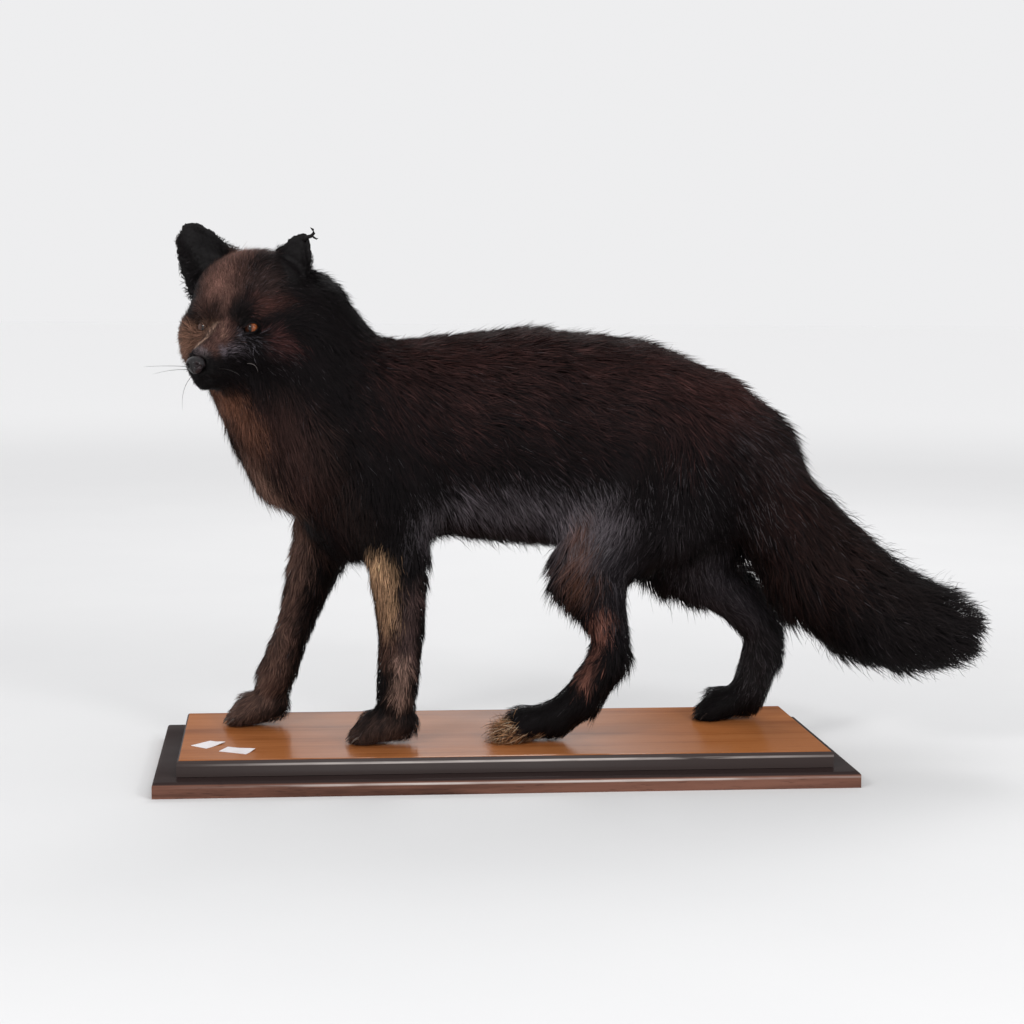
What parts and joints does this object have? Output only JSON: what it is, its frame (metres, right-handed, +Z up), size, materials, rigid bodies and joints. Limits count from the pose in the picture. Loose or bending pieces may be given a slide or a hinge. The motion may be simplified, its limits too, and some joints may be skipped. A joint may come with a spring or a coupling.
{
  "type": "taxidermy fox on a wooden plinth",
  "caption": "Mounted dark-coated fox, walking with its head turned to its left, standing on a stepped polished wooden plinth.",
  "frame": {"origin": "centre of the plinth's underside", "axes": "+Z up; +X along the plinth, from the fox's head to its tail; +Y to the fox's right side"},
  "size_m": [0.8738, 0.296, 0.5655],
  "materials": {
    "coat_black": "long matte black-brown fur with grey-tipped guard hairs",
    "coat_brown": "dark reddish-brown fur",
    "coat_face": "short brown and black fur",
    "coat_paw": "short brown-black fur with tan fringes",
    "ear": "thin black skin with very short fur",
    "nose": "dark satin leather",
    "glass_eye": "amber glass eye with a dark pupil",
    "mahogany": "polished mahogany",
    "dark_mahogany": "dark stained polished mahogany"
  },
  "bodies": {
    "root": {"head": "coat_face", "neck": "coat_black", "trunk": "coat_black", "tail": "coat_brown", "foreleg_left": "coat_black", "foreleg_right": "coat_black", "hindleg_left": "coat_black", "hindleg_right": "coat_black", "forepaw_left": "coat_paw", "forepaw_right": "coat_paw", "hindpaw_left": "coat_paw", "hindpaw_right": "coat_paw", "ear_left": "ear", "ear_right": "ear", "eye_left": "glass_eye", "eye_right": "glass_eye", "nose": "nose", "plinth_upper_board": "mahogany", "plinth_lower_board": "dark_mahogany"}
  },
  "joints": []
}
